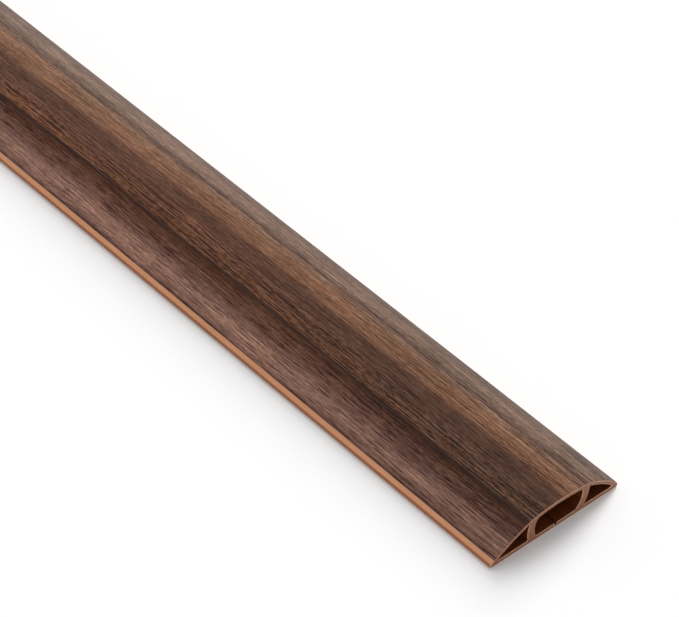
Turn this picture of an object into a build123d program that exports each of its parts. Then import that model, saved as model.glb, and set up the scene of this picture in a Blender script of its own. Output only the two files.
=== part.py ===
from build123d import *
import math
import os

# Floor cable cover: an extruded PVC profile that lies flat over a cable, with a wood-grain film on its crown.
# X runs along the strip, Y across it and Z up. The origin is on the floor, under the middle of the strip.
# All sizes are in millimetres.

# Outside of the cover, with the film on its crown
length = 1000.0
width = 60.0
height = 13.0
crown_width = 28.0
crown_radius = 66.0
shoulder_radius = 14.0
flank_radius = 58.0
toe_height = 1.5
toe_radius = 1.0
sole_radius = 0.3

# Walls of the profile
roof_wall = 1.5
flank_wall = 1.3
base_wall = 1.7
web_wall = 3.2

# Cable channel in the middle, which a slit along the base opens from below
channel_width = 22.2
belly_height = 7.2
belly_radius = 9.0
channel_roof_radius = 2.0
channel_floor_radius = 0.5
slit_width = 1.0

# Side chambers, left and right of the channel
chamber_radius = 0.5

# Film on the crown, which leaves a lip of the profile bare along each toe
film_thickness = 0.2
bare_lip = 1.3

# Centres of the crown's arc and of the right flank's arc, which meet at the shoulder
toe_y = width / 2
shoulder_y = crown_width / 2
crown_centre_z = height - film_thickness - crown_radius
shoulder_z = crown_centre_z + math.sqrt(crown_radius**2 - shoulder_y**2)
flank_run = toe_y - shoulder_y
flank_drop = shoulder_z - toe_height
flank_chord = math.hypot(flank_run, flank_drop)
flank_reach = math.sqrt(flank_radius**2 - (flank_chord / 2) ** 2)
flank_centre_y = (toe_y + shoulder_y) / 2 - flank_reach * flank_drop / flank_chord
flank_centre_z = (toe_height + shoulder_z) / 2 - flank_reach * flank_run / flank_chord


def crown_disc(grow):
    """Disc whose rim is the crown's arc, grown by a thickness."""
    return Pos(0, crown_centre_z) * Circle(crown_radius + grow)


def flank_discs(grow):
    """Overlap of the two discs whose rims are the flanks' arcs, grown by a thickness."""
    right_flank = Pos(flank_centre_y, flank_centre_z) * Circle(flank_radius + grow)
    left_flank = Pos(-flank_centre_y, flank_centre_z) * Circle(flank_radius + grow)
    return right_flank & left_flank


def arch(grow):
    """Crown between the flanks, grown by a thickness, with rounded shoulders."""
    discs = crown_disc(grow) & flank_discs(grow)
    shoulders = discs.vertices().group_by(Axis.Y)[-1]
    return fillet(shoulders, shoulder_radius + grow)


def band_above(level, across):
    """Everything over a level, as wide as stated and higher than the cover."""
    return Pos(0, level) * Rectangle(across, height, align=(Align.CENTER, Align.MIN))


def bulge(wall):
    """Space between the webs, which bow outwards: a slot with round ends, grown by a wall."""
    return Pos(0, belly_height) * SlotOverall(channel_width + 2 * wall, 2 * (belly_radius + wall))


def outline():
    """Outside of the profile: flat base, upright toes, rounded flanks and a flatter crown."""
    face = arch(0) & band_above(0, width)
    face = fillet(face.vertices().group_by(Axis.Y)[1], toe_radius)
    return fillet(face.vertices().group_by(Axis.Y)[0], sole_radius)


def channel():
    """Cable channel between the webs, under the roof and over the base."""
    hollow = bulge(0) & crown_disc(-roof_wall) & band_above(base_wall, width)
    hollow = fillet(hollow.vertices().group_by(Axis.Y)[-1], channel_roof_radius)
    return fillet(hollow.vertices().group_by(Axis.Y)[0], channel_floor_radius)


def chambers():
    """Two hollows between the webs and the flanks."""
    hollows = (flank_discs(-flank_wall) & band_above(base_wall, width)) - bulge(web_wall)
    return fillet(hollows.vertices(), chamber_radius)


def slit():
    """Cut through the middle of the base, where a cable is pressed in from below."""
    return Rectangle(slit_width, 2 * belly_height)


def pvc_profile():
    """One extrusion: toes, flanks, roof, two webs and a base that is split along the middle."""
    section = outline() - channel() - chambers() - slit()
    return extrude(Plane.YZ * section, length / 2, both=True)


def wood_grain_film():
    """Film that follows the crown and both flanks, and stops short of the toes."""
    section = (arch(film_thickness) - arch(0)) & band_above(toe_height, width - 2 * bare_lip)
    return extrude(Plane.YZ * section, length / 2, both=True)


os.makedirs("parts", exist_ok=True)
for make_piece in (pvc_profile, wood_grain_film):
    piece = make_piece()
    export_step(piece, f"parts/{make_piece.__name__}.step")
    print(make_piece.__name__, "volume", round(piece.volume), "mm3", piece.bounding_box().size)
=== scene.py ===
# %% [markdown]
# # A floor cable cover in walnut film
#
# The real object is a strip of extruded PVC that lies flat on a floor and is low enough to step on. A thin
# printed film gives its crown the look of walnut, and the sawn end shows the caramel plastic and its
# hollows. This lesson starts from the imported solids, draws the same section again with finer arcs, and then
# spends most of its lines on the finishes.

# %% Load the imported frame
import math

import bpy
import numpy as np
from mathutils import Matrix, Vector
from mathutils.kdtree import KDTree


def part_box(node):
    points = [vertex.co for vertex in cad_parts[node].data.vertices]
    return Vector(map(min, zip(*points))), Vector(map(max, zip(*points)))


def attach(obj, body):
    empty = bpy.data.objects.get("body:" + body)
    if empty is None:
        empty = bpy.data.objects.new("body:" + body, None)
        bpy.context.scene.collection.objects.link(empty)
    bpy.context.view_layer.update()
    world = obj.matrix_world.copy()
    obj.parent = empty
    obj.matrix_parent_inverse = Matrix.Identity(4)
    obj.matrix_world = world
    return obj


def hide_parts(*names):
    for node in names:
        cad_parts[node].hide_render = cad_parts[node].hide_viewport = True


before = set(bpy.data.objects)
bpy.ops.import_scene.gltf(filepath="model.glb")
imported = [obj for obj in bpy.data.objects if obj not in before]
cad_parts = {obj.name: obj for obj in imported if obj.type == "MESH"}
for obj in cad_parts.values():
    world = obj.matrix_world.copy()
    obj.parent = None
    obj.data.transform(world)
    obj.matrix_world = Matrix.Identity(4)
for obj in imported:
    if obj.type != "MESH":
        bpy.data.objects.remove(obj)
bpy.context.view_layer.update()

mm = 0.001
profile_low, profile_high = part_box("pvc_profile")
_, film_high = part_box("wood_grain_film")
strip_length = profile_high.x - profile_low.x

# %% [markdown]
# ## The section, from a few arcs
#
# A die gives the strip one section along its whole length. That section is all arcs: a flat crown, two
# rounder flanks, two webs that bow outwards, and small fillets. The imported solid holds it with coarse
# facets, which would show as flats along a satin crown. Points typed by hand would be hard to change, so
# each arc is worked out from its centre, and a fillet is the circle that touches its two neighbours. Places
# are (y, z), because x runs along the strip.

# %% Sizes of the section
toe_y = profile_high.y
top_z = profile_high.z
film_thickness = film_high.z - profile_high.z
film_edge_y = film_high.y
crown_width = 28.0 * mm
crown_radius = 66.0 * mm
shoulder_radius = 14.0 * mm
flank_radius = 58.0 * mm
toe_height = 1.5 * mm
toe_radius = 1.0 * mm
sole_radius = 0.3 * mm
roof_wall = 1.5 * mm
flank_wall = 1.3 * mm
base_wall = 1.7 * mm
web_wall = 3.2 * mm
channel_width = 22.2 * mm
belly_height = 7.2 * mm
belly_radius = 9.0 * mm
channel_roof_radius = 2.0 * mm
channel_floor_radius = 0.5 * mm
chamber_radius = 0.5 * mm
slit_width = 1.0 * mm

crown_centre = Vector((0, top_z - crown_radius))
shoulder = Vector((crown_width / 2, crown_centre.y + math.sqrt(crown_radius**2 - (crown_width / 2) ** 2)))
toe_top = Vector((toe_y, toe_height))
chord = toe_top - shoulder
reach = math.sqrt(flank_radius**2 - (chord.length / 2) ** 2)
flank_centre = (shoulder + toe_top) / 2 + Vector((chord.y, -chord.x)).normalized() * reach
belly_centre = Vector((channel_width / 2 - belly_radius, belly_height))
print("flank's centre", [round(place / mm, 2) for place in flank_centre], "mm")

# %% Helpers for arcs and fillets
arc_sag = 0.002 * mm
same_place = arc_sag / 10


def right_of(centre, radius, height):
    """Point of a circle's right side at a height."""
    return Vector((centre.x + math.sqrt(radius**2 - (height - centre.y) ** 2), height))


def above(centre, radius, across):
    """Point of a circle's upper side at a place across the strip."""
    return Vector((across, centre.y + math.sqrt(radius**2 - (across - centre.x) ** 2)))


def right_crossing(centre_a, radius_a, centre_b, radius_b):
    """Of the two points where two circles cross, the one further right."""
    apart = centre_b - centre_a
    along = (apart.length_squared + radius_a**2 - radius_b**2) / (2 * apart.length)
    aside = math.sqrt(radius_a**2 - along**2)
    direction = apart.normalized()
    sideways = Vector((-direction.y, direction.x))
    points = [centre_a + direction * along + sideways * side for side in (aside, -aside)]
    return max(points, key=lambda point: point.x)


def touch(centre, radius, fillet_centre):
    """Point where a fillet touches a circle: on the line through both centres."""
    return centre + (fillet_centre - centre).normalized() * radius


def arc(centre, start, end):
    """Points from start to end round a centre, the short way, close enough to stay within the sag."""
    radius = (start - centre).length
    first = math.atan2(start.y - centre.y, start.x - centre.x)
    last = math.atan2(end.y - centre.y, end.x - centre.x)
    sweep = math.remainder(last - first, 2 * math.pi)
    steps = max(2, math.ceil(abs(sweep) / (2 * math.acos(1 - arc_sag / radius))))
    angles = [first + sweep * step / steps for step in range(steps + 1)]
    return [centre + Vector((math.cos(angle), math.sin(angle))) * radius for angle in angles]


def flipped(points):
    """The same points on the left side of the strip."""
    return [Vector((-point.x, point.y)) for point in points]


def without_doubles(points):
    """A closed loop without points that repeat the one before."""
    pairs = zip(points[-1:] + points[:-1], points)
    return [point for before, point in pairs if (point - before).length > same_place]


quarter = arc(Vector((0, 0)), Vector((toe_radius, 0)), Vector((0, toe_radius)))
print("a quarter turn of", toe_radius / mm, "mm takes", len(quarter), "points")

# %% [markdown]
# ## Loops of the section
#
# The slit in the base joins the channel to the outside, so the outside and the channel are one loop. Each
# chamber is a loop of its own, and so is the film. The right half is drawn, and the left half is its mirror
# image.

# %% Outside of the profile
def crown_and_flank(grow, start):
    """Right half of the arch, grown by a thickness, from a point on the flank to the crown's middle."""
    rounding = right_crossing(flank_centre, flank_radius - shoulder_radius,
                              crown_centre, crown_radius - shoulder_radius)
    low_end = touch(flank_centre, flank_radius + grow, rounding)
    high_end = touch(crown_centre, crown_radius + grow, rounding)
    top = crown_centre + Vector((0, crown_radius + grow))
    flank = arc(flank_centre, start, low_end)
    return flank + arc(rounding, low_end, high_end) + arc(crown_centre, high_end, top)


def outside_half():
    """From the slit along the base, round the sole and the toe, and up to the middle of the crown."""
    sole = Vector((toe_y - sole_radius, sole_radius))
    toe = above(flank_centre, flank_radius - toe_radius, toe_y - toe_radius)
    flank_start = touch(flank_centre, flank_radius, toe)
    base = [Vector((slit_width / 2, 0))]
    base += arc(sole, sole - Vector((0, sole_radius)), sole + Vector((sole_radius, 0)))
    return base + arc(toe, toe + Vector((toe_radius, 0)), flank_start) + crown_and_flank(0, flank_start)


outside = outside_half()
print("half of the outside takes", len(outside), "points")

# %% Channel
def channel_half():
    """From the slit along the channel's floor, up the web and under the roof to the middle."""
    roof_radius = crown_radius - roof_wall
    floor_fillet = right_of(belly_centre, belly_radius - channel_floor_radius,
                            base_wall + channel_floor_radius)
    roof_fillet = right_crossing(belly_centre, belly_radius - channel_roof_radius,
                                 crown_centre, roof_radius - channel_roof_radius)
    web_start = touch(belly_centre, belly_radius, floor_fillet)
    web_end = touch(belly_centre, belly_radius, roof_fillet)
    roof_start = touch(crown_centre, roof_radius, roof_fillet)
    floor = [Vector((slit_width / 2, base_wall))]
    floor += arc(floor_fillet, floor_fillet - Vector((0, channel_floor_radius)), web_start)
    roof = arc(crown_centre, roof_start, crown_centre + Vector((0, roof_radius)))
    return floor + arc(belly_centre, web_start, web_end) + arc(roof_fillet, web_end, roof_start) + roof


channel = channel_half()
print("half of the channel takes", len(channel), "points")

# %% Side chamber
def right_chamber():
    """Hollow between the right web and the right flank."""
    inside = flank_radius - flank_wall
    web_outside = belly_radius + web_wall
    fillet_z = base_wall + chamber_radius
    to_floor = Vector((0, -chamber_radius))
    web_fillet = right_of(belly_centre, web_outside + chamber_radius, fillet_z)
    toe_fillet = right_of(flank_centre, inside - chamber_radius, fillet_z)
    top_fillet = right_crossing(belly_centre, web_outside + chamber_radius,
                                flank_centre, inside - chamber_radius)
    flank_low = touch(flank_centre, inside, toe_fillet)
    flank_high = touch(flank_centre, inside, top_fillet)
    web_high = touch(belly_centre, web_outside, top_fillet)
    web_low = touch(belly_centre, web_outside, web_fillet)
    loop = arc(web_fillet, web_low, web_fillet + to_floor) + arc(toe_fillet, toe_fillet + to_floor, flank_low)
    loop += arc(flank_centre, flank_low, flank_high) + arc(top_fillet, flank_high, web_high)
    return loop + arc(belly_centre, web_high, web_low)


chamber = without_doubles(right_chamber())
print("a chamber takes", len(chamber), "points")

# %% Closed loops
def ring(outer, inner):
    """Closed loop: along a half's outer line, back along its mirror image, and then the inner lines."""
    return without_doubles(outer + flipped(outer)[::-1] + flipped(inner) + inner[::-1])


film_outer = crown_and_flank(film_thickness, above(flank_centre, flank_radius + film_thickness, film_edge_y))
film_inner = crown_and_flank(0, above(flank_centre, flank_radius, film_edge_y))
profile_loops = [ring(outside, channel), chamber[::-1], flipped(chamber)]
film_loops = [ring(film_outer, film_inner)]
print("points per loop", [len(loop) for loop in profile_loops + film_loops])

# %% [markdown]
# ## A sawn extrusion by rule
#
# A die pushes the section along x, and a saw cuts it square. Geometry Nodes can say the same. Each loop of
# the section is swept by one lengthwise line, whose two ends turn in by the width of a broken edge. What
# the turned-in ends leave open is a smaller copy of the section, which a Fill Curve closes. A Bevel on a
# finished extrusion was the other way, but it folds the large end face with its hollows. Loops run with the
# material on their left, so their normals all point out of it. Cut faces and their rims are told from the
# skin by how far they look along x.

# %% Helpers for node trees
def fill(tree, node, inputs):
    """Fill or link a node's inputs, by name or number."""
    for key, value in inputs.items():
        if isinstance(value, bpy.types.NodeSocket):
            tree.links.new(value, node.inputs[key])
        else:
            node.inputs[key].default_value = value


def add(tree, kind, inputs=None, **settings):
    """Add a node, set its properties, and then fill its inputs."""
    node = tree.nodes.new(kind)
    for name, value in settings.items():
        setattr(node, name, value)
    fill(tree, node, inputs or {})
    return node


def calc(tree, operation, *values):
    """Output of a Math node with these values, in order."""
    return add(tree, "ShaderNodeMath", dict(enumerate(values)), operation=operation).outputs[0]


def vector_calc(tree, operation, *values):
    """Output of a Vector Math node with these values, in order."""
    return add(tree, "ShaderNodeVectorMath", dict(enumerate(values)), operation=operation).outputs[0]


def resized(tree, vector, factor):
    """A vector times one number."""
    return add(tree, "ShaderNodeVectorMath", {0: vector, "Scale": factor}, operation="SCALE").outputs[0]


def axes(tree, vector):
    """A vector's three outputs, named X, Y and Z."""
    return add(tree, "ShaderNodeSeparateXYZ", {0: vector}).outputs


def named_inputs(tree, sockets):
    """Give a node group named inputs, and return the outputs of its Group Input node."""
    for name, kind in sockets.items():
        tree.interface.new_socket(name, in_out="INPUT", socket_type="NodeSocket" + kind)
    return tree.nodes.new("NodeGroupInput").outputs


def named_outputs(tree, sockets):
    """Give a node group named outputs, each fed by the socket stated with its kind."""
    for name, (kind, _) in sockets.items():
        tree.interface.new_socket(name, in_out="OUTPUT", socket_type="NodeSocket" + kind)
    add(tree, "NodeGroupOutput", {name: source for name, (_, source) in sockets.items()})


print("helpers add nodes, fill their inputs, calculate, and name a group's sockets")

# %% Sweep the section and close its ends
weld_distance = arc_sag / 4


def swept_and_closed(tree, given):
    """Loops of the section swept along z, with a smaller section filled in at each end."""
    loops = add(tree, "GeometryNodeSetCurveNormal", {"Curve": given["Section"]}, mode="Z_UP").outputs[0]
    line = add(tree, "GeometryNodeObjectInfo", {"Object": given["Saw Line"]}).outputs["Geometry"]
    skin = add(tree, "GeometryNodeCurveToMesh", {"Curve": loops, "Profile Curve": line}).outputs[0]
    outwards = tree.nodes.new("GeometryNodeInputNormal").outputs["Normal"]
    inset = resized(tree, outwards, calc(tree, "MULTIPLY", given["Rim Width"], -1.0))
    smaller = add(tree, "GeometryNodeSetPosition", {"Geometry": loops, "Offset": inset}).outputs[0]
    near = add(tree, "GeometryNodeFillCurve", {"Curve": smaller}, mode="NGONS").outputs[0]
    back = add(tree, "ShaderNodeCombineXYZ", {"Z": calc(tree, "MULTIPLY", given["Length"], -1.0)}).outputs[0]
    moved = add(tree, "GeometryNodeTransform", {"Geometry": near, "Translation": back}).outputs[0]
    far = add(tree, "GeometryNodeFlipFaces", {"Mesh": moved}).outputs[0]
    parts = tree.nodes.new("GeometryNodeJoinGeometry")
    for part in (skin, near, far):
        tree.links.new(part, parts.inputs[0])
    whole = {"Geometry": parts.outputs[0], "Distance": weld_distance}
    return add(tree, "GeometryNodeMergeByDistance", whole).outputs[0]


print("corners within", weld_distance / mm, "mm are welded")

# %% Shade and paint the strip
sharp_angle = math.radians(40)
rim_tilt = 0.1
cut_tilt = 0.999


def painted(tree, given, strip):
    """Strip with a smooth skin, sharp edges, and a finish each for the skin, the rims and the cuts."""
    outwards = tree.nodes.new("GeometryNodeInputNormal").outputs["Normal"]
    lengthwise = calc(tree, "ABSOLUTE", axes(tree, outwards)["X"])
    is_rim = calc(tree, "GREATER_THAN", lengthwise, rim_tilt)
    is_cut = calc(tree, "GREATER_THAN", lengthwise, cut_tilt)
    is_skin = calc(tree, "LESS_THAN", lengthwise, cut_tilt)
    angle = tree.nodes.new("GeometryNodeInputMeshEdgeAngle").outputs["Unsigned Angle"]
    is_round = calc(tree, "LESS_THAN", angle, sharp_angle)
    for domain, smooth in (("FACE", is_skin), ("EDGE", is_round)):
        shading = {"Geometry": strip, "Shade Smooth": smooth}
        strip = add(tree, "GeometryNodeSetShadeSmooth", shading, domain=domain).outputs[0]
    for finish, selection in (("Skin", True), ("Rim", is_rim), ("Cut", is_cut)):
        paint = {"Geometry": strip, "Selection": selection, "Material": given[finish]}
        strip = add(tree, "GeometryNodeSetMaterial", paint).outputs[0]
    return strip


print("edges over", round(math.degrees(sharp_angle)), "degrees stay sharp")

# %% Tree of the strip
def laid_along_x(tree, given, upright):
    """The swept strip turned from z to x, with its middle at the origin."""
    old = axes(tree, tree.nodes.new("GeometryNodeInputPosition").outputs[0])
    along = calc(tree, "ADD", old["Z"], calc(tree, "MULTIPLY", given["Length"], 0.5))
    new = add(tree, "ShaderNodeCombineXYZ", {"X": along, "Y": old["X"], "Z": old["Y"]}).outputs[0]
    return add(tree, "GeometryNodeSetPosition", {"Geometry": upright, "Position": new}).outputs[0]


def sawn_strip_tree():
    """Tree that sweeps a section, closes and paints it, and leaves one plain mesh."""
    tree = bpy.data.node_groups.new("sawn strip", "GeometryNodeTree")
    given = named_inputs(tree, {
        "Section": "Geometry", "Saw Line": "Object", "Length": "Float", "Rim Width": "Float",
        "Skin": "Material", "Cut": "Material", "Rim": "Material",
    })
    laid = laid_along_x(tree, given, swept_and_closed(tree, given))
    plain = add(tree, "GeometryNodeRealizeInstances", {"Geometry": laid}).outputs[0]
    named_outputs(tree, {"Strip": ("Geometry", painted(tree, given, plain))})
    return tree


sawn_strip = sawn_strip_tree()
print("tree", sawn_strip.name, "with", len(sawn_strip.nodes), "nodes")

# %% Run a tree and keep its mesh
def poly_curve(name, lines, closed):
    """Curve object in the XY plane with one poly spline per list of points."""
    curve = bpy.data.curves.new(name, "CURVE")
    curve.dimensions = "3D"
    for line in lines:
        spline = curve.splines.new("POLY")
        spline.points.add(len(line) - 1)
        for point, place in zip(spline.points, line):
            point.co = (place.x, place.y, 0, 1)
        spline.use_cyclic_u = closed
    curve_object = bpy.data.objects.new(name, curve)
    bpy.context.scene.collection.objects.link(curve_object)
    return curve_object


def mesh_from_tree(source, tree, values):
    """Run a Geometry Nodes tree on an object, and return the result as a plain mesh."""
    modifier = source.modifiers.new(tree.name, "NODES")
    modifier.node_group = tree
    for item in tree.interface.items_tree:
        if item.in_out == "INPUT" and item.name in values:
            modifier[item.identifier] = values[item.name]
    graph = bpy.context.evaluated_depsgraph_get()
    mesh = bpy.data.meshes.new_from_object(source.evaluated_get(graph), depsgraph=graph)
    bpy.data.objects.remove(source)
    if mesh.materials[0] is None:
        mesh.materials.pop(index=0)
    return mesh


def link_piece(name, mesh):
    """Object at the origin that shows a mesh."""
    mesh.name = name
    piece = bpy.data.objects.new(name, mesh)
    bpy.context.scene.collection.objects.link(piece)
    return piece


print("helpers draw curves, run a tree on them, and keep the mesh as a piece")

# %% [markdown]
# ## Six finishes, named before they are made
#
# The tree sets materials while it builds, so the materials have to exist first. They are empty here, and
# each one gets its nodes in a cell of its own below.

# %% Name the finishes
caramel_skin = bpy.data.materials.new("caramel_skin")
hollow_painted_shade = bpy.data.materials.new("hollow_painted_shade")
sawn_caramel = bpy.data.materials.new("sawn_caramel")
rim_painted_highlight = bpy.data.materials.new("rim_painted_highlight")
walnut_print = bpy.data.materials.new("walnut_print")
film_cut_edge = bpy.data.materials.new("film_cut_edge")
print("finishes", [material.name for material in bpy.data.materials])

# %% [markdown]
# ## Profile and film
#
# Both pieces come from the same tree. A saw never leaves a perfect corner, and the broken edge catches a
# thin line of light along the cut. The lengthwise line has a few points between its ends, because the flat
# layouts below need the strip in equal runs.

# %% Build both pieces
layout_runs = 4
profile_rim = 0.18 * mm
film_rim = 0.04 * mm


def saw_line(rim_width):
    """Lengthwise line: y runs along the strip, and x goes below zero where the rounded ends turn in."""
    near = Vector((-rim_width, rim_width))
    far = Vector((-rim_width, strip_length - rim_width))
    runs = [Vector((0, strip_length * run / layout_runs)) for run in range(1, layout_runs)]
    near_end = arc(near, near - Vector((0, rim_width)), near + Vector((rim_width, 0)))
    far_end = arc(far, far + Vector((rim_width, 0)), far + Vector((0, rim_width)))
    return near_end + runs + far_end


def sawn_piece(name, loops, rim_width, skin, cut, rim):
    """Strip with a section, its ends sawn square and their edges broken."""
    line = poly_curve("saw line", [saw_line(rim_width)], closed=False)
    values = {"Saw Line": line, "Length": strip_length, "Rim Width": rim_width}
    values |= {"Skin": skin, "Cut": cut, "Rim": rim}
    piece = link_piece(name, mesh_from_tree(poly_curve(name, loops, closed=True), sawn_strip, values))
    bpy.data.objects.remove(line)
    print(name, len(piece.data.polygons), "faces in", [slot.name for slot in piece.data.materials])
    return piece


profile = sawn_piece("caramel_profile", profile_loops, profile_rim, caramel_skin, sawn_caramel, rim_painted_highlight)
film = sawn_piece("walnut_film_sheet", film_loops, film_rim, walnut_print, film_cut_edge, film_cut_edge)

# %% [markdown]
# ## Hollows in painted shade
#
# Little light gets into the channel, the chambers and the slit, and on the real strip they look far deeper
# than the sawn face around them. Their faces could be picked by hand, but the arcs are known: a face is in
# a hollow where its middle lies above the base and well below the arch. Those faces get the same plastic in
# darker colours, as painted shade.

# %% Tell the hollows from the outside
arch_depth = 0.6 * mm
base_top = 0.95 * base_wall
slit_reach = 0.55 * slit_width


def in_hollow(place):
    """True for a place in the slit, or above the base and well below the arch."""
    side = Vector((abs(place.y), place.z))
    under_crown = (side - crown_centre).length < crown_radius - arch_depth
    under_flank = (side - flank_centre).length < flank_radius - arch_depth
    in_slit = place.z > 0 and side.x < slit_reach
    return under_crown and under_flank and (place.z > base_top or in_slit)


# Faces in the hollows get painted shade: the same plastic in darker colours.
profile.data.materials.append(hollow_painted_shade)
hollow_faces = [face for face in profile.data.polygons if face.material_index == 0 and in_hollow(face.center)]
for face in hollow_faces:
    face.material_index = len(profile.data.materials) - 1
print("faces in hollows", len(hollow_faces))

# %% [markdown]
# ## A flat layout for the film
#
# A flat layout lets the print be kept as a picture. The film is far longer than wide, so as one piece it
# would leave most of a square sheet empty. It is cut into four runs instead, stacked like planks. Across a
# run the layout follows the length of the arch, so the print isn't squeezed on the flanks. Sawn ends, long
# edges and the glued underside, which nobody sees, share what is left.

# %% Unroll the arch
row_gap = 0.6 * mm
spare_height = 6.0 * mm
crown_to_edge = film_outer[::-1]
arch_across = [point.x for point in crown_to_edge]
arch_height = [point.y for point in crown_to_edge]
arch_steps = [(end - start).length for start, end in zip(crown_to_edge, crown_to_edge[1:])]
arch_reach = np.concatenate(([0.0], np.cumsum(arch_steps)))
film_half = float(arch_reach[-1])
row_height = 2 * film_half + row_gap
spare_row = layout_runs * row_height
sheet_size = spare_row + spare_height
print("film unrolls to", round(2 * film_half / mm, 2), "mm on a sheet of", round(sheet_size / mm, 1), "mm")

# %% Lay the film flat
underside_row = 1.0 * mm
underside_fill = 0.9
end_row = 4.4 * mm
end_step = 0.8 * mm
end_stretch = 2.0
edge_tilt = 0.1


def run_of(face):
    """Number of the run along the strip that a face is in."""
    return min(int((face.center.x / strip_length + 0.5) * layout_runs), layout_runs - 1)


def film_place(face, place):
    """Where a corner of a film face lies on the sheet."""
    run = run_of(face)
    along = place.x + strip_length / 2 - run * strip_length / layout_runs
    across = film_half + math.copysign(np.interp(abs(place.y), arch_across, arch_reach), place.y)
    depth = np.interp(abs(place.y), arch_across, arch_height) - place.z
    if abs(face.normal.x) > cut_tilt:
        return across, spare_row + end_row + end_step * (face.normal.x > 0) + end_stretch * depth
    if face.normal.z < -edge_tilt:
        return along, spare_row + (run + underside_fill * across / (2 * film_half)) * underside_row
    if face.normal.z < edge_tilt:
        across += math.copysign(depth, place.y)
    return along, run * row_height + row_gap / 2 + across


def lay_flat(piece, places_on_sheet, size):
    """Give a piece a flat layout, with each face where a function puts it on a sheet of a size."""
    layout = piece.data.uv_layers.new(name="OFBake")
    for face in piece.data.polygons:
        places = [piece.data.vertices[number].co for number in face.vertices]
        for corner, spot in zip(face.loop_indices, places_on_sheet(face, places)):
            layout.uv[corner].vector = Vector(spot) / size
    print(piece.name, "laid flat:", len(layout.uv), "corners")


lay_flat(film, lambda face, places: [film_place(face, place) for place in places], sheet_size)

# %% [markdown]
# ## A flat layout for the profile
#
# Most of the profile's skin is under the film or deep in a hollow, where a sharp picture would be wasted. So
# the layout weighs each stretch of the section by how well it is seen. The lip gets the most, then the base,
# then the hollows, and the skin under the film next to nothing. It runs in the same four rows, and both sawn
# ends lie above them at a large scale.

# %% Weigh the section
pixels_per_mm = {"lip": 6.0, "base": 1.5, "hollow": 0.5, "under the film": 0.1}
base_level = 0.01 * mm
film_overlap = 0.4 * mm
first_row = 2.0
loop_gap = 3.0


def stretch_of(place):
    """Which stretch of the section a place is on."""
    if in_hollow(place):
        return "hollow"
    if place.z < base_level:
        return "base"
    return "lip" if abs(place.y) > film_edge_y - film_overlap else "under the film"


loop_of_point, row_of_point, loop_spans = [], [], []
section_points = KDTree(sum(len(loop) for loop in profile_loops))
row = first_row
for loop in profile_loops:
    loop_start = row
    for point, following in zip(loop, loop[1:] + loop[:1]):
        section_points.insert((0, point.x, point.y), len(row_of_point))
        loop_of_point.append(len(loop_spans))
        row_of_point.append(row)
        middle = (point + following) / 2
        stretch = stretch_of(Vector((0, middle.x, middle.y)))
        row += (following - point).length / mm * pixels_per_mm[stretch]
    loop_spans.append((loop_start, row))
    row += loop_gap
section_points.balance()
run_pixels = row
print("a run takes", round(run_pixels), "rows")

# %% Lay the profile flat
sheet_pixels = 1024
sheet_margin = 8.0
run_length_pixels = 1000.0
end_pixels_per_mm = 8.0
ends_row = layout_runs * run_pixels + sheet_margin


def end_place(face, place):
    """Where a corner of a sawn end lies on the sheet, in pixels."""
    aside = sheet_margin + (sheet_pixels / 2 if face.normal.x > 0 else 0.0)
    return aside + (place.y + toe_y) / mm * end_pixels_per_mm, ends_row + place.z / mm * end_pixels_per_mm


def skin_places(face, places):
    """Where the corners of a skin face lie on the sheet, in pixels. At a loop's seam, its end is taken."""
    run = run_of(face)
    nearest = [section_points.find((0, place.y, place.z))[1] for place in places]
    first, last = loop_spans[loop_of_point[nearest[0]]]
    rows = [row_of_point[number] for number in nearest]
    if max(rows) - min(rows) > (last - first) / 2:
        rows = [last if row == first else row for row in rows]
    shares = [(place.x / strip_length + 0.5) * layout_runs - run for place in places]
    along = [sheet_margin + share * run_length_pixels for share in shares]
    return list(zip(along, [run * run_pixels + row for row in rows]))


def profile_places(face, places):
    """Where the corners of a face of the profile lie on the sheet, in pixels."""
    on_end = abs(face.normal.x) > rim_tilt
    return [end_place(face, place) for place in places] if on_end else skin_places(face, places)


lay_flat(profile, profile_places, sheet_pixels)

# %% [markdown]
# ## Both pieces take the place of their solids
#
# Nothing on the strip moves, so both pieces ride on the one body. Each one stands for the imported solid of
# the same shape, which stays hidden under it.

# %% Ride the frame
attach(profile, "root")
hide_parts("pvc_profile")
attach(film, "root")
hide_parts("wood_grain_film")
print("pieces on the root body", [profile.name, film.name])

# %% [markdown]
# ## Colours and coordinates
#
# Colours are written as they look on a screen, in hex, and turned into the linear values that shaders use.
# Patterns read Object coordinates in millimetres: x runs along the strip and y across it, so grain and die
# lines stay in place whatever the mesh is made of.

# %% Colours
def colour(code):
    """Linear colour from a hex code."""
    parts = [int(code[start:start + 2], 16) / 255 for start in (0, 2, 4)]
    return [part / 12.92 if part <= 0.04045 else ((part + 0.055) / 1.055) ** 2.4 for part in parts] + [1.0]


def grey(level):
    """Colour with the same level of red, green and blue."""
    return (level, level, level, 1.0)


print("middle grey on a screen is", round(colour("808080")[0], 3), "in linear light")

# %% Helpers for finishes
def open_material(material):
    """Empty a material's tree and return the tree and its Principled BSDF."""
    material.use_nodes = True
    tree = material.node_tree
    tree.nodes.clear()
    surface = add(tree, "ShaderNodeBsdfPrincipled")
    add(tree, "ShaderNodeOutputMaterial", {"Surface": surface.outputs[0]})
    return tree, surface


def millimetres(tree):
    """Object coordinates in millimetres, as three outputs named X, Y and Z."""
    place = tree.nodes.new("ShaderNodeTexCoord").outputs["Object"]
    return axes(tree, resized(tree, place, 1 / mm))


def from_range(tree, value, low, high):
    """How far a value is from low to high, between 0 and 1 with soft ends."""
    limits = {"Value": value, "From Min": low, "From Max": high}
    return add(tree, "ShaderNodeMapRange", limits, interpolation_type="SMOOTHSTEP").outputs["Result"]


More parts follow.
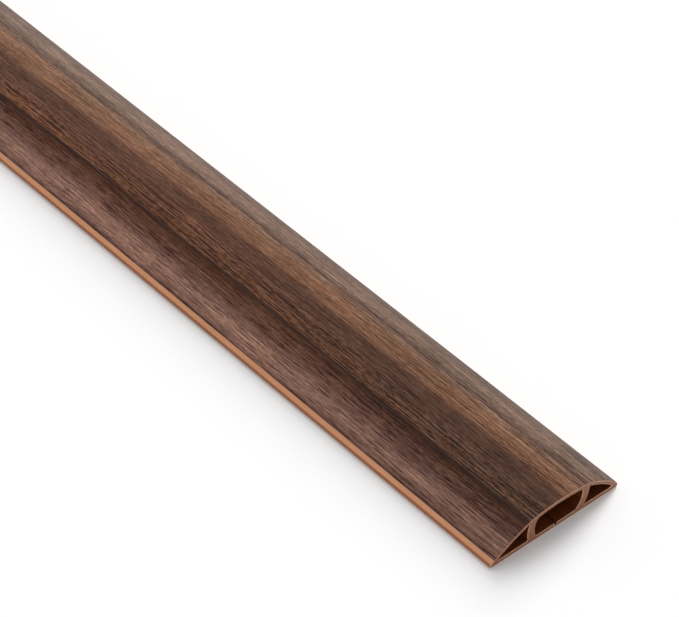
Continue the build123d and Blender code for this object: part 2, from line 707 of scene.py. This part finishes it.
def blend(tree, factor, first, second, mode="MIX"):
    """Output of a colour mix."""
    settings = {"data_type": "RGBA", "blend_type": mode, "clamp_factor": True}
    return add(tree, "ShaderNodeMix", {0: factor, 6: first, 7: second}, **settings).outputs[2]


def ramp(tree, value, stops):
    """Colour ramp from a list of (place, colour)."""
    node = add(tree, "ShaderNodeValToRGB", {"Fac": value})
    elements = node.color_ramp.elements
    while len(elements) < len(stops):
        elements.new(1.0)
    for element, (place, shade) in zip(elements, stops):
        element.position = place
        element.color = shade
    return node.outputs["Color"]


def pressed(tree, height, strength, depth):
    """Normal of a surface with a shallow relief pressed into it."""
    return add(tree, "ShaderNodeBump", {"Height": height, "Strength": strength, "Distance": depth}).outputs[0]


print("helpers open a material and give it places, ranges, blends, ramps and relief")

# %% [markdown]
# ## Streaks, shared by every finish
#
# Wood grain, die lines on extruded plastic and saw marks on its end are the same thing at different sizes:
# noise that is stretched far more one way than the other. One shader group makes them all. Its inputs are
# the two coordinates and how long and wide a streak is, so each material places it with its own values.

# %% Group of streaks
streak_inputs = ("Along", "Across", "Length", "Width", "Seed")


def streak_group():
    """Noise stretched to a length and a width, and spread from -1 to 1."""
    tree = bpy.data.node_groups.new("streaks", "ShaderNodeTree")
    given = named_inputs(tree, dict.fromkeys(streak_inputs, "Float"))
    stretched = add(tree, "ShaderNodeCombineXYZ", {
        "X": calc(tree, "DIVIDE", given["Along"], given["Length"]),
        "Y": calc(tree, "DIVIDE", given["Across"], given["Width"]),
        "Z": given["Seed"],
    }).outputs[0]
    noise = add(tree, "ShaderNodeTexNoise", {
        "Vector": stretched, "Scale": 1.0, "Detail": 2.0, "Roughness": 0.55,
    }).outputs[0]
    spread = add(tree, "ShaderNodeMapRange", {
        "Value": noise, "From Min": 0.25, "From Max": 0.75, "To Min": -1.0, "To Max": 1.0,
    }, clamp=True).outputs["Result"]
    named_outputs(tree, {"Streak": ("Float", spread)})
    return tree


streaks_group = streak_group()
print("group", streaks_group.name, "with", len(streaks_group.nodes), "nodes")


def streaks(tree, along, across, length, width, seed):
    """Streaks between -1 and 1, placed in a material."""
    values = dict(zip(streak_inputs, (along, across, length, width, seed)))
    return add(tree, "ShaderNodeGroup", values, node_tree=streaks_group).outputs["Streak"]


# %% [markdown]
# ## Pores
#
# Walnut has open pores, which a print shows as dark ticks along the grain. A saw leaves ticks of another
# kind on the cut plastic, pale chips where its teeth tore it. A Voronoi texture in stretched coordinates
# gives one tick per cell, at a random place, and its random colour decides which cells have one and how
# deep it is.

# %% Group of pores
pore_inputs = ("Along", "Across", "Length", "Width", "Share", "Seed")
tick_edge = 0.38
tick_core = 0.12
least_depth = 0.4


def pore_group():
    """One soft tick in a share of the cells of a stretched Voronoi texture, each with its own depth."""
    tree = bpy.data.node_groups.new("pores", "ShaderNodeTree")
    given = named_inputs(tree, dict.fromkeys(pore_inputs, "Float"))
    stretched = add(tree, "ShaderNodeCombineXYZ", {
        "X": calc(tree, "ADD", calc(tree, "DIVIDE", given["Along"], given["Length"]), given["Seed"]),
        "Y": calc(tree, "DIVIDE", given["Across"], given["Width"]),
    }).outputs[0]
    cells = add(tree, "ShaderNodeTexVoronoi", {
        "Vector": stretched, "Scale": 1.0, "Randomness": 1.0,
    }, voronoi_dimensions="2D").outputs
    lot = add(tree, "ShaderNodeSeparateColor", {0: cells["Color"]}).outputs
    tick = from_range(tree, cells["Distance"], tick_edge, tick_core)
    kept = calc(tree, "LESS_THAN", lot[0], given["Share"])
    depth = calc(tree, "MULTIPLY_ADD", lot[1], 1 - least_depth, least_depth)
    pore = calc(tree, "MULTIPLY", calc(tree, "MULTIPLY", tick, kept), depth)
    named_outputs(tree, {"Pore": ("Float", pore)})
    return tree


pores_group = pore_group()
print("group", pores_group.name, "with", len(pores_group.nodes), "nodes")


def pores(tree, along, across, length, width, share, seed):
    """Ticks between 0 and 1, placed in a material."""
    values = dict(zip(pore_inputs, (along, across, length, width, share, seed)))
    return add(tree, "ShaderNodeGroup", values, node_tree=pores_group).outputs["Pore"]


# %% [markdown]
# ## Bands of the walnut print
#
# The film is a print of walnut. Its broad bands run along the strip: pinkish brown on one flank, a thin
# dark line where that flank meets the crown, an amber band beside it, deep brown over the middle, a paler
# band, and dull brown on the other flank. A wood texture with random rings would put them somewhere else
# each time, so ramps over the strip's width state them. More ramps say, for each place across, how strong
# the fine lines are, how much amber glows through, how far the tone dims towards the near end, and where
# flecks take the place of streaks.

# %% Bands across the film
band_reach = 30.0
film_bands = [
    (-28.6, "513737"), (-27.9, "8d6658"), (-25.2, "a37a68"), (-22.5, "825d51"), (-20.0, "634135"),
    (-17.5, "593525"), (-15.5, "492711"), (-15.0, "3c200e"), (-14.7, "301409"), (-14.2, "301409"),
    (-13.8, "57331c"), (-10.5, "543018"), (-8.6, "4e2c18"), (-6.5, "543223"), (-3.0, "4d2f1f"),
    (0.6, "503020"), (2.2, "6a4732"), (7.5, "6f4d37"), (11.0, "6a4d3b"), (12.1, "503930"),
    (13.2, "50392d"), (14.8, "5d4535"), (19.0, "674b3b"), (23.5, "4e3321"), (28.5, "3c2413"),
]
line_strength = [
    (-28.5, 0.72), (-22.0, 0.78), (-18.0, 0.9), (-15.2, 0.55), (-14.4, 0.2), (-13.4, 1.5), (-8.5, 1.35),
    (-5.0, 0.62), (1.0, 0.62), (3.0, 0.8), (11.0, 0.85), (15.0, 1.05), (22.0, 1.1), (28.5, 1.0),
]
warm_share = [
    (-28.0, 0.5), (-22.0, 0.5), (-20.0, 0.2), (-13.5, 0.2), (-12.0, 1.0), (-8.5, 1.0), (-6.0, 0.2),
    (2.0, 0.2), (4.0, 0.6), (9.0, 0.6), (11.0, 0.1), (28.0, 0.1),
]
dim_share = [
    (-28.0, 0.3), (-15.0, 0.3), (-12.5, 0.46), (-8.0, 0.46), (-6.0, 0.37), (0.0, 0.3), (4.0, 0.08),
    (13.0, 0.08), (16.0, 0.15), (28.0, 0.15),
]
fleck_share = [
    (-28.0, 1.0), (-17.0, 0.9), (-14.0, 0.3), (2.0, 0.5), (12.0, 0.3), (28.0, 0.3),
]


def across_ramp(tree, share, stops):
    """Ramp over the film's width, from stops in millimetres with a hex colour or a level."""
    places = [(at + band_reach) / (2 * band_reach) for at, _ in stops]
    shades = [colour(shade) if isinstance(shade, str) else grey(shade) for _, shade in stops]
    return ramp(tree, share, list(zip(places, shades)))


print("bands", len(film_bands), "from", film_bands[0][0], "to", film_bands[-1][0], "mm")

# %% [markdown]
# ## Ground of the walnut print
#
# Wood grain is never quite straight. So the bands and the lines on them are drawn along a grain that sways
# in long waves, most at the strip's middle, and wobbles a little everywhere. The ground colour is the bands
# with amber showing through soft clouds. A slow wave dims it towards the near end, where the amber fades
# too. Noise alone could do all of this, but a wave says where it is high.

# %% Grain that wanders
wander_length = 280.0
sway_at_middle = 0.55
sway_loss_per_mm = 0.02
wobble = {"length": 40.0, "width": 6.0, "seed": 8.0}
wobble_reach = 0.3


def turns_from_end(tree, along):
    """Angle that is zero at the near end and makes a full turn in each wander length."""
    rate = 2 * math.pi / wander_length
    near_end = strip_length / 2 / mm
    return calc(tree, "MULTIPLY_ADD", along, rate, -rate * near_end)


def wandering(tree, along, across, turns):
    """Place across the grain: the place across the strip, with the sway and the wobble added."""
    sway = calc(tree, "MULTIPLY_ADD", calc(tree, "ABSOLUTE", across), -sway_loss_per_mm, sway_at_middle)
    wander = calc(tree, "MULTIPLY", calc(tree, "COSINE", turns), sway)
    wobbles = streaks(tree, along, across, **wobble)
    return calc(tree, "ADD", across, calc(tree, "MULTIPLY_ADD", wobbles, wobble_reach, wander))


print("grain sways by", sway_at_middle, "mm in waves of", wander_length, "mm")

# %% Ground under the lines
dim_pace = 0.7
amber_fade = 0.7
amber_full_at = 0.9
amber_tint = [1.3, 1.05, 0.72, 1.0]
dim_tone = colour("2c211a")


def print_ground(tree, turns, share, clouds):
    """Colour of the bands, with amber in the clouds, dimmed by a slow wave that starts at the near end."""
    wave = calc(tree, "COSINE", calc(tree, "MULTIPLY", turns, dim_pace))
    slow = calc(tree, "MULTIPLY_ADD", wave, 0.5, 0.5)
    fade = calc(tree, "MULTIPLY_ADD", slow, -amber_fade, 1.0)
    warmth = calc(tree, "MULTIPLY", across_ramp(tree, share, warm_share), fade)
    glow = calc(tree, "MULTIPLY", from_range(tree, clouds, 0.0, amber_full_at), warmth)
    warmed = blend(tree, glow, across_ramp(tree, share, film_bands), amber_tint, "MULTIPLY")
    dim = calc(tree, "MULTIPLY", slow, across_ramp(tree, share, dim_share))
    return blend(tree, dim, warmed, dim_tone)


print("tone dims in waves of", round(wander_length / dim_pace), "mm")

# %% [markdown]
# ## Grain of the walnut print
#
# On the ground lie fibres, veins and pores of several lengths. Beside each long pore lies a painted
# highlight, a pale line where the pressed relief would catch light. Their sum is a density, as of ink, and
# the colour under it is scaled by a power of two of that density, so light and dark lines are equally
# strong. A limit keeps single light lines from standing out like scratches. Pure scaling makes light lines
# too orange, so the ground is lifted to a paler one while it is scaled. The same lines press a shallow
# relief into the film and make its pores a bit rougher.

# %% Lines of the grain
vein = {"length": 28.0, "width": 0.9, "seed": 21.0}
fibre = {"length": 12.0, "width": 0.4, "seed": 31.0}
speckle = {"length": 2.4, "width": 0.45, "seed": 51.0}
long_pore = {"length": 15.0, "width": 0.8, "share": 0.8, "seed": 41.0}
short_pore = {"length": 10.0, "width": 0.7, "share": 0.6, "seed": 43.0}
dark_vein = {"length": 60.0, "width": 1.4, "share": 0.4, "seed": 71.0}
ink = {
    "fibre": 0.8, "vein": 0.3, "speckle": 0.8, "painted highlight": 0.65,
    "long pore": -1.5, "short pore": -1.1, "dark vein": -0.7,
}
highlight_offset = 0.4
streaks_at_most = 1.1
taken_by_flecks = 0.3
even_ink = 0.24
lightest = 0.9


def grain_lines(tree, along, across, grain, share):
    """Density of the fine lines: light ones above zero, dark ones below."""
    def inked(lines, kind, mark):
        return calc(tree, "MULTIPLY_ADD", mark, ink[kind], lines)

    flecks = across_ramp(tree, share, fleck_share)
    short_pores = calc(tree, "MULTIPLY", pores(tree, along, grain, **short_pore), flecks)
    beside = calc(tree, "ADD", grain, highlight_offset)
    lines = inked(0.0, "fibre", streaks(tree, along, grain, **fibre))
    lines = inked(lines, "vein", streaks(tree, along, grain, **vein))
    lines = inked(lines, "speckle", streaks(tree, along, across, **speckle))
    # Painted highlight: a pale line just beside each long pore, where the relief would catch light.
    lines = inked(lines, "painted highlight", pores(tree, along, beside, **long_pore))
    lines = inked(lines, "long pore", pores(tree, along, grain, **long_pore))
    streaky = calc(tree, "MULTIPLY_ADD", flecks, -taken_by_flecks, streaks_at_most)
    lines = inked(calc(tree, "MULTIPLY", lines, streaky), "short pore", short_pores)
    lines = inked(calc(tree, "ADD", lines, even_ink), "dark vein", pores(tree, along, grain, **dark_vein))
    lines = calc(tree, "MULTIPLY", lines, across_ramp(tree, share, line_strength))
    return calc(tree, "MINIMUM", lines, lightest)


print("kinds of marks in the grain", list(ink))

# %% Walnut print
pale = [0.04, 0.036, 0.031]
deepest = [0.006, 0.004, 0.003]
cloud = {"length": 45.0, "width": 3.5, "seed": 11.0}
cloud_ink = 0.26
blotch = {"length": 9.0, "width": 3.0, "seed": 61.0}
blotch_ink = 0.15
satin = 0.46
pore_dulling = 0.04
film_gloss = 0.18
emboss_depth = 0.02 * mm


def printed(tree, ground, level):
    """Ground colour under a line's level, lifted while it is scaled so that light lines go pale."""
    lifted = vector_calc(tree, "ADD", ground, pale)
    lowered = vector_calc(tree, "SUBTRACT", vector_calc(tree, "MULTIPLY", lifted, level), pale)
    return vector_calc(tree, "MAXIMUM", lowered, deepest)


def paint_walnut(material):
    """Ground and lines of the print, with a relief and a satin gloss that follow the lines."""
    tree, surface = open_material(material)
    place = millimetres(tree)
    along, across = place["X"], place["Y"]
    turns = turns_from_end(tree, along)
    grain = wandering(tree, along, across, turns)
    share = calc(tree, "MULTIPLY_ADD", grain, 0.5 / band_reach, 0.5)
    clouds = streaks(tree, along, grain, **cloud)
    blotches = streaks(tree, along, across, **blotch)
    lines = grain_lines(tree, along, across, grain, share)
    clouded = calc(tree, "MULTIPLY_ADD", clouds, cloud_ink, lines)
    density = calc(tree, "MULTIPLY_ADD", blotches, blotch_ink, clouded)
    ground = print_ground(tree, turns, share, clouds)
    fill(tree, surface, {
        "Base Color": printed(tree, ground, calc(tree, "POWER", 2.0, density)),
        "Roughness": calc(tree, "MULTIPLY_ADD", lines, -pore_dulling, satin),
        "Normal": pressed(tree, lines, strength=0.4, depth=emboss_depth),
        "Specular IOR Level": film_gloss,
    })


paint_walnut(walnut_print)
print(walnut_print.name, "has", len(walnut_print.node_tree.nodes), "nodes")

# %% [markdown]
# ## Caramel plastic
#
# The bare PVC shows on the lip beside the film, in the hollows, on the underside and at the broken edges of
# the cut. A die leaves fine, shallow lines along it, and the colour drifts a little. The side of the lip that
# meets the floor and the underside lie in shade, so painted shade deepens the skin below the lip's edge. The
# hollows get darker colours as painted shade, and the broken edges paler ones as a painted highlight. One
# function paints all of these with other colours and streak sizes, because they are one material.

# %% Caramel plastic
die_line = (80.0, 0.6)
rim_line = (1.0, 0.6)
film_edge_line = (1.0, 0.5)
drift = {"length": 12.0, "width": 2.5, "seed": 15.0}
drift_share = 0.25
dull_lines = 0.05
die_depth = 0.02 * mm
foot_painted_shade = [0.54, 0.39, 0.28, 1.0]
foot_starts = 1.7
foot_full = 1.2


def paint_caramel(material, main, shade, line_size, roughness, foot=None, gloss=0.5):
    """Plastic skin with faint streaks, and painted shade below the lip's edge where a foot is given."""
    tree, surface = open_material(material)
    place = millimetres(tree)
    along, across = place["X"], calc(tree, "ADD", place["Y"], place["Z"])
    lines = streaks(tree, along, across, *line_size, seed=5.0)
    drifts = streaks(tree, along, across, **drift)
    factor = calc(tree, "MULTIPLY_ADD", calc(tree, "ADD", lines, drifts), drift_share, 0.5)
    tone = blend(tree, factor, colour(shade), colour(main))
    # Painted shade: the skin is darkened below the lip's edge, where it meets the floor.
    if foot:
        tone = blend(tree, from_range(tree, place["Z"], foot_starts, foot_full), tone, foot, "MULTIPLY")
    fill(tree, surface, {
        "Base Color": tone,
        "Roughness": calc(tree, "MULTIPLY_ADD", lines, dull_lines, roughness),
        "Normal": pressed(tree, lines, strength=0.3, depth=die_depth),
        "Specular IOR Level": gloss,
    })


# The outer skin gets painted shade below the lip's edge and on the underside.
paint_caramel(caramel_skin, "eda879", "d69468", die_line, roughness=0.42, foot=foot_painted_shade)
# Painted shade: the hollows' skin is the caramel plastic in darker colours.
paint_caramel(hollow_painted_shade, "64300f", "4d2209", die_line, roughness=0.55, gloss=0.15)
# Painted highlight: the broken edges of the cut are painted paler, as a thin line of light.
paint_caramel(rim_painted_highlight, "f6cdaa", "945c3c", rim_line, roughness=0.38)
paint_caramel(film_cut_edge, "a8704a", "7d4a2c", film_edge_line, roughness=0.5)
print(caramel_skin.name, "has", len(caramel_skin.node_tree.nodes), "nodes")

# %% [markdown]
# ## Sawn end
#
# A saw blade leaves close, slightly leaning marks on the cut, and its teeth tear out small pale chips. The
# cut is duller than the skin. The same two groups make both, with the streaks now running up the section
# instead of along the strip.

# %% Sawn end
blade_lean = 0.25
saw_mark = {"length": 4.0, "width": 0.3, "seed": 5.0}
saw_mark_share = 0.3
mottle = {"length": 1.4, "width": 1.4, "seed": 15.0}
mottle_share = 0.2
chip = {"length": 0.7, "width": 0.35, "share": 0.25, "seed": 9.0}
chip_strength = 0.6
cut_roughness = 0.6
dull_marks = 0.06
saw_depth = 0.03 * mm


def paint_sawn(material):
    """Saw marks up and down the cut, with pale chips where the teeth tore the plastic."""
    tree, surface = open_material(material)
    place = millimetres(tree)
    upwards, across = place["Z"], place["Y"]
    leaning = calc(tree, "MULTIPLY_ADD", upwards, blade_lean, across)
    marks = streaks(tree, upwards, leaning, **saw_mark)
    chips = pores(tree, upwards, leaning, **chip)
    mottled = calc(tree, "MULTIPLY_ADD", streaks(tree, upwards, across, **mottle), mottle_share, 0.5)
    factor = calc(tree, "MULTIPLY_ADD", marks, saw_mark_share, mottled)
    cut = blend(tree, factor, colour("74432a"), colour("a46642"))
    height = calc(tree, "MULTIPLY_ADD", chips, chip_strength, marks)
    fill(tree, surface, {
        "Base Color": blend(tree, calc(tree, "MULTIPLY", chips, chip_strength), cut, colour("d8a680")),
        "Roughness": calc(tree, "MULTIPLY_ADD", marks, dull_marks, cut_roughness),
        "Normal": pressed(tree, height, strength=0.5, depth=saw_depth),
    })


paint_sawn(sawn_caramel)
print(sawn_caramel.name, "has", len(sawn_caramel.node_tree.nodes), "nodes")

# %% [markdown]
# ## Floor
#
# The strip lies on a plain white floor. A large sheet reaches far past the view from any side, so no edge
# of it shows. It is a hair below the strip's base, because two faces in one plane would fight for the same
# pixels.

# %% Floor
floor_reach = 60.0
floor_z = -0.02 * mm
floor_mesh = bpy.data.meshes.new("studio_floor")
floor_signs = ((-1, -1), (1, -1), (1, 1), (-1, 1))
floor_corners = [(x * floor_reach, y * floor_reach, floor_z) for x, y in floor_signs]
floor_mesh.from_pydata(floor_corners, [], [(0, 1, 2, 3)])
floor = link_piece("studio_floor", floor_mesh)
floor_paint = bpy.data.materials.new("white_floor")
floor_tree, floor_surface = open_material(floor_paint)
fill(floor_tree, floor_surface, {"Base Color": grey(0.97), "Roughness": 0.9, "Specular IOR Level": 0.0})
floor_mesh.materials.append(floor_paint)
print("floor", 2 * floor_reach, "m square")

# %% [markdown]
# ## Light
#
# A product photo of this kind has a big soft box and a white surround. The world gives the even part of the
# light, and what the camera and gloss see of it is white. Two distant lamps behind the strip, one high and
# wide, one low, give the crown its fall-off and the lip side its shadow on the floor. Lamps with a size
# would do too, but a distant lamp lights the whole length alike. All three together bring the floor to just
# about white, so colours render about as they are written. The lamps show in no reflection, because the
# photo has no glare on the film.

# %% White surround
ambient_level = 0.5
world = bpy.data.worlds.new("white studio")
bpy.context.scene.world = world
world.use_nodes = True
world_tree = world.node_tree
world_tree.nodes.clear()
rays = world_tree.nodes.new("ShaderNodeLightPath").outputs
looked_at = calc(world_tree, "MAXIMUM", rays["Is Camera Ray"], rays["Is Glossy Ray"])
seen = calc(world_tree, "MAXIMUM", looked_at, rays["Is Transmission Ray"])
level = calc(world_tree, "MULTIPLY_ADD", seen, 1.0 - ambient_level, ambient_level)
sky = add(world_tree, "ShaderNodeBackground", {"Color": grey(1.0), "Strength": level})
add(world_tree, "ShaderNodeOutputWorld", {"Surface": sky.outputs[0]})
print("even light", ambient_level)

# %% Lamps
key_level = 0.26
side_level = 0.28


def soft_lamp(name, floor_level, direction, spread):
    """Distant lamp that adds a level of light to the floor, and shows in no reflection."""
    towards = Vector(direction).normalized()
    lamp = bpy.data.lights.new(name, "SUN")
    lamp.energy = floor_level * math.pi / towards.z
    lamp.angle = math.radians(spread)
    lamp_object = bpy.data.objects.new(name, lamp)
    lamp_object.visible_glossy = False
    lamp_object.rotation_mode = "QUATERNION"
    lamp_object.rotation_quaternion = towards.to_track_quat("Z", "Y")
    bpy.context.scene.collection.objects.link(lamp_object)


soft_lamp("soft key", key_level, (-0.36, 0.58, 0.73), spread=40)
soft_lamp("low side", side_level, (-0.35, 0.84, 0.41), spread=24)
print("light on the floor", round(ambient_level + key_level + side_level, 2))

# %% [markdown]
# ## Camera
#
# The camera looks down on the sawn end from the front, through a long lens, as the photo's does. Its three
# axes come from lining up the strip's edges and the cut with the photo. The whole of the near end is in
# view, and the far end runs out of the picture.

# %% Camera
lens = bpy.data.cameras.new("photo camera")
lens.sensor_width = 36.0
lens.lens = 135.75
lens.clip_start = 0.01
lens.clip_end = 200.0
camera = bpy.data.objects.new("photo camera", lens)
camera_place = Vector((0.8134, -0.4917, 0.5775))
right = Vector((0.683669, 0.719396, 0.122750))
up = Vector((-0.542350, 0.388290, 0.745043))
forward = Vector((-0.488318, 0.575936, -0.655626))
turn = Matrix((right, up, -forward)).transposed()
camera.matrix_world = Matrix.Translation(camera_place) @ turn.to_4x4()
bpy.context.scene.collection.objects.link(camera)
bpy.context.scene.camera = camera
bpy.context.scene.view_settings.view_transform = "Standard"
print("camera looks along", [round(value, 2) for value in forward])
